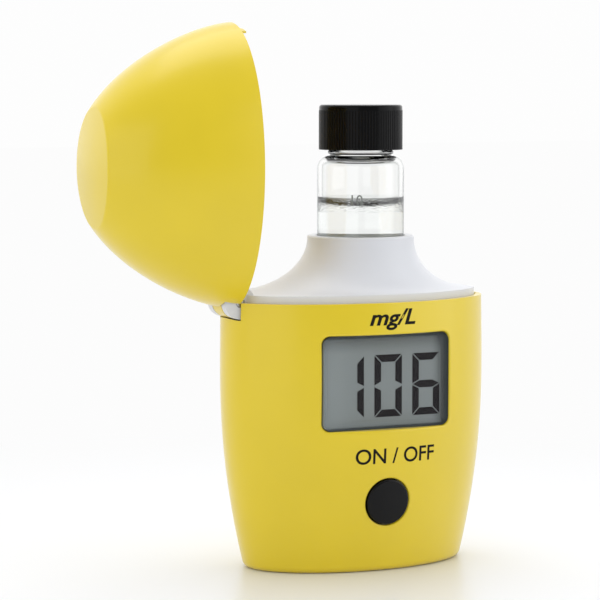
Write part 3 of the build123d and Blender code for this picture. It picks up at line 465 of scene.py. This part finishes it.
def printed(words, height, place, target, turn=0.0, lean=0.0, weight=0.0, spread=1.0):
    """Words laid onto the target, thrown from a place and turned about the upright axis."""
    start_clean()
    bpy.ops.object.text_add(location=place)
    piece = bpy.context.object
    piece.data.body = words
    piece.data.size = height
    piece.data.shear = lean
    piece.data.offset = weight
    piece.data.align_x = "CENTER"
    piece.data.align_y = "CENTER"
    piece.data.resolution_u = 8
    piece.scale = (spread, 1, 1)
    piece.rotation_euler = (math.pi / 2, 0, turn)
    activate(piece)
    bpy.ops.object.convert(target="MESH")
    bpy.ops.object.modifier_add(type="SHRINKWRAP")
    wrap = piece.modifiers[-1]
    wrap.target = target
    wrap.wrap_method = "PROJECT"
    wrap.use_project_z = True
    wrap.use_positive_direction = False
    wrap.use_negative_direction = True
    wrap.offset = INK_LIFT
    bpy.ops.object.modifier_apply(modifier=wrap.name)
    return piece


def dress(finishes):
    """Gives CAD nodes their finishes, smooth-shaded as they came."""
    for node, finish in finishes.items():
        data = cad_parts[node].data
        data.materials.clear()
        data.materials.append(finish)


# Sizes and colours that a user would change


class CaseSettings(bpy.types.PropertyGroup):
    """The yellow case, the white collar and the printing on them."""

    yellow: bpy.props.FloatVectorProperty(
        name="Case colour", description="Colour of the body, the lid and the door",
        subtype="COLOR", size=3, min=0, max=1, default=(0.80, 0.605, 0.006),
    )
    white: bpy.props.FloatVectorProperty(
        name="Collar colour", description="Colour of the collar round the well",
        subtype="COLOR", size=3, min=0, max=1, default=(0.73, 0.745, 0.785),
    )
    ink: bpy.props.FloatVectorProperty(
        name="Ink colour", description="Colour of the printed words",
        subtype="COLOR", size=3, min=0, max=1, default=(0.012, 0.011, 0.01),
    )
    gloss: bpy.props.FloatProperty(
        name="Case roughness", description="0 is a mirror and 1 is chalk",
        min=0, max=1, default=0.33,
    )
    letter_height: bpy.props.FloatProperty(
        name="Letter height", description="Size of the printed words",
        unit="LENGTH", default=4.6 * MM,
    )
    unit_words: bpy.props.StringProperty(
        name="Unit", description="Words over the display", default="mg/L",
    )
    unit_place: bpy.props.FloatVectorProperty(
        name="Unit place", description="Middle of the unit, across and up",
        size=2, unit="LENGTH", default=(0.3 * MM, 54.8 * MM),
    )
    key_words: bpy.props.StringProperty(
        name="Key words", description="Words over the button", default="ON / OFF",
    )
    key_place: bpy.props.FloatVectorProperty(
        name="Key words' place", description="Middle of the key's words, across and up",
        size=2, unit="LENGTH", default=(1.6 * MM, 25.2 * MM),
    )


class DisplaySettings(bpy.types.PropertyGroup):
    """The display and its digits."""

    reading: bpy.props.StringProperty(
        name="Reading", description="Number on the display", default="106",
    )
    digit_height: bpy.props.FloatProperty(
        name="Digit height", description="Height of a digit",
        unit="LENGTH", default=13.6 * MM,
    )
    digit_width: bpy.props.FloatProperty(
        name="Digit width", description="Width of a digit over its strokes",
        unit="LENGTH", default=6.8 * MM,
    )
    digit_pitch: bpy.props.FloatProperty(
        name="Digit pitch", description="From one digit's middle to the next",
        unit="LENGTH", default=9.1 * MM,
    )
    last_digit: bpy.props.FloatVectorProperty(
        name="Last digit", description="Middle of the last digit, across and up",
        size=2, unit="LENGTH", default=(10.2 * MM, 40.0 * MM),
    )
    stroke: bpy.props.FloatProperty(
        name="Stroke", description="Width of a digit's strokes",
        unit="LENGTH", default=1.8 * MM,
    )
    slant: bpy.props.FloatProperty(
        name="Slant", description="Lean of the digits", subtype="ANGLE",
        default=math.radians(4),
    )


class CuvetteSettings(bpy.types.PropertyGroup):
    """The glass vial, its sample and its mark."""

    glass: bpy.props.FloatVectorProperty(
        name="Glass colour", description="Tint of the vial",
        subtype="COLOR", size=3, min=0, max=1, default=(0.985, 0.99, 0.985),
    )
    wall: bpy.props.FloatProperty(
        name="Wall", description="Thickness of the vial's wall",
        unit="LENGTH", default=1.0 * MM,
    )
    body_height: bpy.props.FloatProperty(
        name="Body height", description="From the foot to the top of the shoulder",
        unit="LENGTH", default=56.3 * MM,
    )
    shoulder_radius: bpy.props.FloatProperty(
        name="Shoulder radius", description="Bend of the shoulder",
        unit="LENGTH", default=2.7 * MM,
    )
    neck_radius: bpy.props.FloatProperty(
        name="Neck radius", description="Outside of the neck",
        unit="LENGTH", default=6.7 * MM,
    )
    water: bpy.props.FloatVectorProperty(
        name="Sample colour", description="Tint of the sample",
        subtype="COLOR", size=3, min=0, max=1, default=(0.985, 0.995, 0.99),
    )
    climb: bpy.props.FloatProperty(
        name="Climb", description="Height that the sample climbs up the glass",
        unit="LENGTH", default=2.0 * MM,
    )
    mark: bpy.props.StringProperty(
        name="Mark", description="Number at the fill line", default="10",
    )
    mark_height: bpy.props.FloatProperty(
        name="Mark height", description="Size of the number",
        unit="LENGTH", default=3.5 * MM,
    )
    mark_aside: bpy.props.FloatProperty(
        name="Mark aside", description="How far the number stands to the side",
        unit="LENGTH", default=-1.0 * MM,
    )
    mark_rise: bpy.props.FloatProperty(
        name="Mark rise", description="How far the number stands over the sample's level",
        unit="LENGTH", default=0.8 * MM,
    )


class StageSettings(bpy.types.PropertyGroup):
    """The camera, the lamps and the floor."""

    camera_place: bpy.props.FloatVectorProperty(
        name="Camera place", description="Where the camera stands", subtype="TRANSLATION",
        size=3, unit="LENGTH", default=(-0.25592, -0.51367, 0.10690),
    )
    camera_target: bpy.props.FloatVectorProperty(
        name="Camera target", description="What the camera looks at", subtype="TRANSLATION",
        size=3, unit="LENGTH", default=(-0.010352, 0.004902, 0.057212),
    )
    lens: bpy.props.FloatProperty(
        name="Lens", description="Focal length on a 36 mm sensor", default=158.5,
    )
    floor_colour: bpy.props.FloatVectorProperty(
        name="Floor colour", description="Colour of the floor near the object",
        subtype="COLOR", size=3, min=0, max=1, default=(0.83, 0.84, 0.865),
    )
    tent_light: bpy.props.FloatProperty(
        name="Tent light", description="Soft light from all round", default=1.12,
    )
    tent_gloss: bpy.props.FloatProperty(
        name="Tent gloss", description="Brightness of the tent in reflections", default=1.3,
    )
    left_power: bpy.props.FloatProperty(
        name="Left lamp", description="Power in watts", default=1.05,
    )
    right_power: bpy.props.FloatProperty(
        name="Right lamp", description="Power in watts", default=1.25,
    )
    top_power: bpy.props.FloatProperty(
        name="Top lamp", description="Power in watts", default=1.2,
    )


# Operators, one for each group of pieces


class COLORIMETER_OT_case(bpy.types.Operator):
    """Finishes the yellow case and the white collar"""

    bl_idname = "colorimeter.case"
    bl_label = "Case and collar"

    def execute(self, context):
        settings = context.scene.colorimeter_case
        yellow = moulded_plastic("case_yellow", settings.yellow, settings.gloss, tint=0.03,
                                 coat=0.4)
        white = moulded_plastic("collar_white", settings.white, 0.38, tint=0.02)
        dress({"body_shell": yellow, "lid": yellow, "battery_door": yellow, "collar": white})
        return {"FINISHED"}


class COLORIMETER_OT_printing(bpy.types.Operator):
    """Prints the unit and the key's words on the front of the case"""

    bl_idname = "colorimeter.printing"
    bl_label = "Printing"

    def words(self, text, place, settings, **style):
        """Words on the front of the body, at a place across and up."""
        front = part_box("body_shell")[0].y - THROW
        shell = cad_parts["body_shell"]
        place = Vector((place[0], front, place[1]))
        return printed(text, settings.letter_height, place, shell, **style)

    def execute(self, context):
        settings = context.scene.colorimeter_case
        ink = moulded_plastic("printing_ink", settings.ink, 0.6, shine=0.1)
        unit = self.words(settings.unit_words, settings.unit_place, settings,
                          lean=0.3, weight=0.11 * MM, spread=1.2)
        settle(unit, "unit_words", ink, "housing", smooth=False)
        key = self.words(settings.key_words, settings.key_place, settings, weight=0.05 * MM)
        settle(key, "key_words", ink, "housing", smooth=False)
        return {"FINISHED"}


class COLORIMETER_OT_display(bpy.types.Operator):
    """Finishes the display and sets its digits"""

    bl_idname = "colorimeter.display"
    bl_label = "Display"

    strokes = {
        "0": "top upper_left upper_right lower_left lower_right bottom",
        "1": "upper_right lower_right",
        "2": "top upper_right centre lower_left bottom",
        "3": "top upper_right centre lower_right bottom",
        "4": "upper_left upper_right centre lower_right",
        "5": "top upper_left centre lower_right bottom",
        "6": "top upper_left centre lower_left lower_right bottom",
        "7": "top upper_right lower_right",
        "8": "top upper_left upper_right centre lower_left lower_right bottom",
        "9": "top upper_left upper_right centre lower_right bottom",
    }

    def film(self):
        """The grey film that fills the window just behind its cover. Its bevel is deeper than
        the film is thick, and so stands up round it as the display's dark frame, whose dark at the
        top, the right and the foot is painted shade."""
        low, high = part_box("display_window")
        middle = (low + high) / 2
        start_clean()
        bpy.ops.mesh.primitive_cube_add(size=1)
        piece = bpy.context.object
        piece.scale = (high.x - low.x - FILM_INSET, FILM_DEPTH, high.z - low.z - FILM_INSET)
        piece.location = (middle.x, high.y - FILM_DEPTH / 2 - FILM_GAP, middle.z)
        bpy.ops.object.transform_apply(location=True, rotation=False, scale=True)
        bpy.ops.object.mode_set(mode="EDIT")
        bpy.ops.mesh.select_all(action="SELECT")
        bpy.ops.mesh.bevel(offset=FILM_BEVEL, segments=6)
        bpy.ops.object.mode_set(mode="OBJECT")
        return piece

    def stroke_at(self, across, up, settings):
        """The name of the stroke whose face has its middle here."""
        side = settings.digit_width / 2 - settings.stroke
        end = settings.digit_height / 2 - settings.stroke
        if up > end:
            return "top"
        if up < -end:
            return "bottom"
        if abs(across) < side:
            return "centre"
        return ("upper_" if up > 0 else "lower_") + ("left" if across < 0 else "right")

    def ladder(self, settings):
        """Two cells, one over the other, with a frame of mitred strokes round them."""
        stroke = settings.stroke
        bpy.ops.mesh.primitive_grid_add(x_subdivisions=1, y_subdivisions=2, size=1)
        piece = bpy.context.object
        piece.scale = (settings.digit_width, settings.digit_height, 1)
        bpy.ops.object.transform_apply(location=False, rotation=False, scale=True)
        bpy.ops.object.mode_set(mode="EDIT")
        bpy.ops.mesh.select_all(action="SELECT")
        bpy.ops.mesh.inset(thickness=stroke, use_individual=True)
        bpy.ops.mesh.delete(type="ONLY_FACE")
        bpy.ops.mesh.select_all(action="DESELECT")
        bpy.ops.object.mode_set(mode="OBJECT")
        for face in piece.data.polygons:
            face.select = abs(face.center.y) < stroke and abs(face.center.x) < stroke
        bpy.ops.object.mode_set(mode="EDIT")
        bpy.ops.mesh.dissolve_faces()
        bpy.ops.object.mode_set(mode="OBJECT")
        # The centre stroke is made of two, so its edges are drawn in to half their distance
        for vertex in piece.data.vertices:
            if stroke * 0.6 < abs(vertex.co.y) < stroke * 1.4:
                vertex.co.y *= 0.5
        return piece

    def digit(self, character, place, settings):
        """One digit: the strokes of its ladder that are shown, set apart and stood up."""
        start_clean()
        pick_by("faces")
        piece = self.ladder(settings)
        bpy.ops.object.mode_set(mode="EDIT")
        bpy.ops.mesh.select_all(action="SELECT")
        bpy.ops.mesh.inset(thickness=SEGMENT_GAP, use_individual=True)
        bpy.ops.mesh.select_all(action="INVERT")
        bpy.ops.mesh.delete(type="FACE")
        bpy.ops.object.mode_set(mode="OBJECT")
        shown = self.strokes[character].split()
        for face in piece.data.polygons:
            name = self.stroke_at(face.center.x, face.center.y, settings)
            face.select = name not in shown
        bpy.ops.object.mode_set(mode="EDIT")
        bpy.ops.mesh.delete(type="FACE")
        bpy.ops.mesh.select_all(action="SELECT")
        bpy.ops.mesh.extrude_region_move(
            TRANSFORM_OT_translate={"value": (0, 0, SEGMENT_DEPTH)}
        )
        face_outwards()
        bpy.ops.object.mode_set(mode="OBJECT")
        lean = Matrix.Shear("XZ", 4, (math.tan(settings.slant), 0))
        stand = Matrix.Rotation(math.pi / 2, 4, "X")
        piece.data.transform(Matrix.Translation(place) @ lean @ stand)
        return piece

    def execute(self, context):
        settings = context.scene.colorimeter_display
        # The second colour is the painted shade at the film's top, right and edges
        panel = display_grey_with_painted_shade("display_film", (0.30, 0.335, 0.34), (0.05, 0.06, 0.062))
        cover = clear_glass("display_cover", (0.97, 0.98, 0.975), COVER_IOR)
        dress({"display_glass": panel, "display_window": cover})
        sheet = self.film()
        settle(sheet, "display_film", panel, "housing", smooth=False)
        ink = moulded_plastic("display_segments", (0.018, 0.016, 0.018), 0.7, shine=0.0)
        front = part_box("display_window")[1].y - FILM_DEPTH - SEGMENT_LIFT
        across, up = settings.last_digit
        pieces = []
        for index, character in enumerate(reversed(settings.reading)):
            place = Vector((across - index * settings.digit_pitch, front, up))
            pieces.append(self.digit(character, place, settings))
        activate(pieces[0])
        for piece in pieces:
            piece.select_set(True)
        bpy.ops.object.join()
        settle(pieces[0], "display_digits", ink, "housing", smooth=False)
        return {"FINISHED"}


class COLORIMETER_OT_button(bpy.types.Operator):
    """Finishes the button"""

    bl_idname = "colorimeter.button"
    bl_label = "Button"

    def execute(self, context):
        black = moulded_plastic("button_black", (0.003, 0.003, 0.0035), 0.14, grain=0.001,
                                shine=0.2)
        dress({"button": black})
        return {"FINISHED"}


class COLORIMETER_OT_cuvette(bpy.types.Operator):
    """Blows the vial, fills it, marks it and finishes its cap"""

    bl_idname = "colorimeter.cuvette"
    bl_label = "Cuvette and cap"

    def vial(self, centre, low, high, radius, settings):
        """The vial's wall, as one closed form, from the middle of the foot round to the inside."""
        wall = settings.wall
        shoulder = low + settings.body_height
        bend = settings.shoulder_radius
        bend_centre = (radius - bend, shoulder - bend)
        neck = settings.neck_radius
        bore = neck - NECK_WALL
        corner = wall * CORNER_WALLS
        floor = low + wall * FLOOR_WALLS
        outside = [
            (POLE_RADIUS, low + FOOT_HOLLOW),
            (radius * FOOT_HOLLOW_SHARE, low + FOOT_HOLLOW_EDGE),
        ]
        outside += arc((radius - wall, low + wall), wall, -90, 0)
        outside += arc(bend_centre, bend, 0, 90, 10)
        outside += arc((neck, shoulder + LIP_BEVEL + BEAD_RADIUS), BEAD_RADIUS, -90, 90)
        outside += [(neck, high - LIP_BEVEL), (neck - LIP_BEVEL, high)]
        inside = [
            (bore + LIP_BEVEL, high), (bore, high - LIP_BEVEL), (bore, shoulder - wall * 0.8),
        ]
        inside += arc(bend_centre, bend - wall, 90, 0, 10)
        inside += arc((radius - wall - corner, floor + corner), corner, 0, -90)
        inside += [(POLE_RADIUS, floor)]
        return spun(centre, outside + inside)

    def sample(self, centre, low, level, radius, settings):
        """The sample: it wets the glass and climbs it a little."""
        reach = radius - settings.wall + WETTING
        climb = settings.climb
        corner = settings.wall * CORNER_WALLS
        floor = low + settings.wall * FLOOR_WALLS
        profile = [(POLE_RADIUS, floor - WETTING)]
        profile += arc((reach - corner, floor + corner), corner, -90, 0)
        profile += [(reach, level + climb * (1 - MENISCUS_DIP))]
        for share in MENISCUS_SHARES:
            lift = math.exp((share - 1) * MENISCUS_FALL) - MENISCUS_DIP
            profile.append((reach * share, level + climb * lift))
        return spun(centre, profile)

    def number(self, centre, level, radius, vial, settings, facing):
        """The number at the fill line, on the side of the vial that faces a place."""
        turn = math.atan2(facing[0] - centre[0], centre[1] - facing[1])
        aside = Vector((math.cos(turn), math.sin(turn), 0)) * settings.mark_aside
        out = Vector((math.sin(turn), -math.cos(turn), 0)) * (radius * 1.5)
        place = Vector((*centre, level + settings.mark_rise)) + out + aside
        return printed(settings.mark, settings.mark_height, place, vial, turn=turn, spread=0.9)

    def execute(self, context):
        settings = context.scene.colorimeter_cuvette
        glass = clear_glass("vial_glass", settings.glass, GLASS_IOR, waviness=0.05,
                            edge=(0.3, 0.33, 0.32))
        black = moulded_plastic("cap_black", (0.003, 0.003, 0.0035), 0.18, grain=0.002,
                                shine=0.12)
        liner = soft_rubber("liner_white", (0.75, 0.75, 0.73))
        dress({"cap": black, "cap_liner": liner})
        low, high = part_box("cuvette_vial")
        middle = (low + high) / 2
        centre = (middle.x, middle.y)
        radius = (high.x - low.x) / 2 - NODE_MARGIN
        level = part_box("sample_liquid")[1].z
        water = sample_water("sample_water", settings.water, level, settings.climb)
        vial = self.vial(centre, low.z, high.z, radius, settings)
        settle(vial, "glass_vial", glass, "cuvette")
        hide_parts("cuvette_vial")
        sample = self.sample(centre, low.z, level, radius, settings)
        settle(sample, "clear_sample", water, "cuvette")
        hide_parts("sample_liquid")
        etched = moulded_plastic("etched_mark", (0.22, 0.24, 0.23), 0.6)
        facing = context.scene.colorimeter_stage.camera_place
        mark = self.number(centre, level, radius, vial, settings, facing)
        settle(mark, "fill_mark", etched, "cuvette", smooth=False)
        return {"FINISHED"}


class COLORIMETER_OT_inside(bpy.types.Operator):
    """Finishes the pieces inside the case and the small metal pieces"""

    bl_idname = "colorimeter.inside"
    bl_label = "Inside pieces"

    def execute(self, context):
        steel = turned_metal("screw_steel", (0.62, 0.62, 0.62), 0.25)
        spring = turned_metal("contact_plate", (0.72, 0.70, 0.62), 0.2)
        black = moulded_plastic("frame_black", (0.014, 0.014, 0.015), 0.5, grain=0.01)
        chip = moulded_plastic("chip_black", (0.02, 0.02, 0.022), 0.45)
        board = coated_board("board_green", (0.02, 0.14, 0.05))
        rubber = soft_rubber("strip_grey", (0.06, 0.06, 0.07))
        lamp = clear_glass("lamp_resin", (0.95, 0.95, 0.93), RESIN_IOR)
        filter_glass = clear_glass("filter_amber", (0.9, 0.55, 0.15), RESIN_IOR)
        dress({
            "hinge_pin": steel, "board_screws": steel, "frame_screws": steel,
            "door_screw": steel, "grip_spring": spring, "top_contact": spring,
            "bottom_contact": spring, "inner_frame": black, "controller_chip": chip,
            "amplifier_chip": chip, "switch_body": chip, "light_detector": chip,
            "main_board": board, "lamp_board": board, "detector_board": board,
            "contact_strips": rubber, "switch_plunger": rubber, "lamp": lamp,
            "colour_filter": filter_glass, "battery_cell": cell_sleeve("cell_sleeve"),
        })
        return {"FINISHED"}


class COLORIMETER_OT_stage(bpy.types.Operator):
    """Sets the floor, the lamps, the world and the camera"""

    bl_idname = "colorimeter.stage"
    bl_label = "Stage"

    def floor(self, settings):
        """A pale floor that fades to white away from the object."""
        start_clean()
        bpy.ops.mesh.primitive_plane_add(size=FLOOR_SIZE, location=(0, 0, -FLOOR_DROP))
        piece = bpy.context.object
        piece.name = "studio_floor"
        finish = Finish("studio_floor")
        across, along, _ = finish.axes(finish.place())
        distance = (across * across + along * along) ** 0.5
        far = distance.step(FADE_START, FADE_END)
        seen = finish.ray("Camera").maths("MAXIMUM", finish.ray("Transmission"))
        near = finish.node("ShaderNodeBsdfPrincipled", None, {
            "Base Color": (*settings.floor_colour, 1.0), "Roughness": 0.35,
        })
        white = finish.node("ShaderNodeEmission", None, {
            "Color": (0.975, 0.975, 0.975, 1.0), "Strength": 1.0,
        })
        mixed = finish.node("ShaderNodeMixShader", None, {0: far * seen, 1: near, 2: white})
        piece.data.materials.append(finish.output(mixed))

    def sky(self, settings):
        """A light tent: white to look at, brightest behind and on the left to light with."""
        world = bpy.context.scene.world or bpy.data.worlds.new("light_tent")
        bpy.context.scene.world = world
        finish = Finish("light_tent", owner=world)
        direction = finish.node("ShaderNodeTexCoord", output="Generated")
        across, along, _ = finish.axes(direction)
        behind = across * VIEW_ACROSS + along * VIEW_ALONG
        right = across * VIEW_ALONG - along * VIEW_ACROSS
        soft = settings.tent_light * self.brighter_behind(behind, -1.0, 0.6, front=0.55)
        soft = soft * (1 - right.step(0.0, 1.0) * 0.3)
        mirrored = settings.tent_gloss * self.brighter_behind(behind, -0.6, 0.3, front=0.25)
        through = self.brighter_behind(behind, 0.35, 0.8, front=0.3)
        strength = self.by_ray(finish.ray("Glossy"), mirrored, soft)
        strength = self.by_ray(finish.ray("Transmission"), through, strength)
        seen = finish.ray("Camera")
        strength = seen + (1 - seen) * strength
        light = finish.node("ShaderNodeBackground", None, {
            "Color": (0.985, 0.985, 0.985, 1.0), "Strength": strength,
        })
        finish.output(light)

    @staticmethod
    def brighter_behind(behind, start, end, front):
        """A level that rises from its value in front of the object to 1 behind it."""
        return behind.step(start, end) * (1 - front) + front

    @staticmethod
    def by_ray(ray, strength, otherwise):
        """A strength for one kind of ray, and another strength for the rest."""
        return ray * strength + (1 - ray) * otherwise

    def lamp(self, name, place, size, power):
        """A square soft box that faces the object."""
        data = bpy.data.lights.new(name, "AREA")
        data.shape = "SQUARE"
        data.size = size
        data.energy = power
        lamp = bpy.data.objects.new(name, data)
        bpy.context.collection.objects.link(lamp)
        lamp.location = place
        aim = LAMP_TARGET - Vector(place)
        lamp.rotation_euler = aim.to_track_quat("-Z", "Y").to_euler()

    def camera(self, settings):
        """The camera at the photograph's viewing angle."""
        data = bpy.data.cameras.new("camera")
        data.lens = settings.lens
        data.sensor_width = 36.0
        data.clip_start = 0.01
        camera = bpy.data.objects.new("camera", data)
        bpy.context.collection.objects.link(camera)
        place = Vector(settings.camera_place)
        camera.location = place
        aim = Vector(settings.camera_target) - place
        camera.rotation_euler = aim.to_track_quat("-Z", "Y").to_euler()
        bpy.context.scene.camera = camera

    def execute(self, context):
        settings = context.scene.colorimeter_stage
        context.scene.view_settings.view_transform = "Standard"
        self.floor(settings)
        self.sky(settings)
        for side, (place, size) in LAMPS.items():
            self.lamp(f"{side}_lamp", place, size, getattr(settings, f"{side}_power"))
        self.camera(settings)
        return {"FINISHED"}


STEPS = ("case", "printing", "display", "button", "cuvette", "inside", "stage")
GROUPS = {
    "case": CaseSettings, "display": DisplaySettings, "cuvette": CuvetteSettings,
    "stage": StageSettings,
}


class COLORIMETER_PT_panel(bpy.types.Panel):
    """Lists the steps and their sizes"""

    bl_idname = "COLORIMETER_PT_panel"
    bl_label = "Colorimeter"
    bl_space_type = "VIEW_3D"
    bl_region_type = "UI"
    bl_category = "Colorimeter"

    def draw(self, context):
        for name, group in GROUPS.items():
            settings = getattr(context.scene, f"colorimeter_{name}")
            for entry in group.__annotations__:
                self.layout.prop(settings, entry)
        for step in STEPS:
            self.layout.operator(f"colorimeter.{step}")


CLASSES = (
    *GROUPS.values(),
    COLORIMETER_OT_case, COLORIMETER_OT_printing, COLORIMETER_OT_display,
    COLORIMETER_OT_button, COLORIMETER_OT_cuvette, COLORIMETER_OT_inside,
    COLORIMETER_OT_stage, COLORIMETER_PT_panel,
)


def register():
    """Registers the classes and their settings."""
    for entry in CLASSES:
        bpy.utils.register_class(entry)
    for name, group in GROUPS.items():
        pointer = bpy.props.PointerProperty(type=group)
        setattr(bpy.types.Scene, f"colorimeter_{name}", pointer)


def unregister():
    """Removes what register added."""
    for name in GROUPS:
        delattr(bpy.types.Scene, f"colorimeter_{name}")
    for entry in reversed(CLASSES):
        bpy.utils.unregister_class(entry)


def main():
    """Runs each step in order."""
    register()
    for step in STEPS:
        getattr(bpy.ops.colorimeter, step)()


if __name__ == "__main__":
    main()
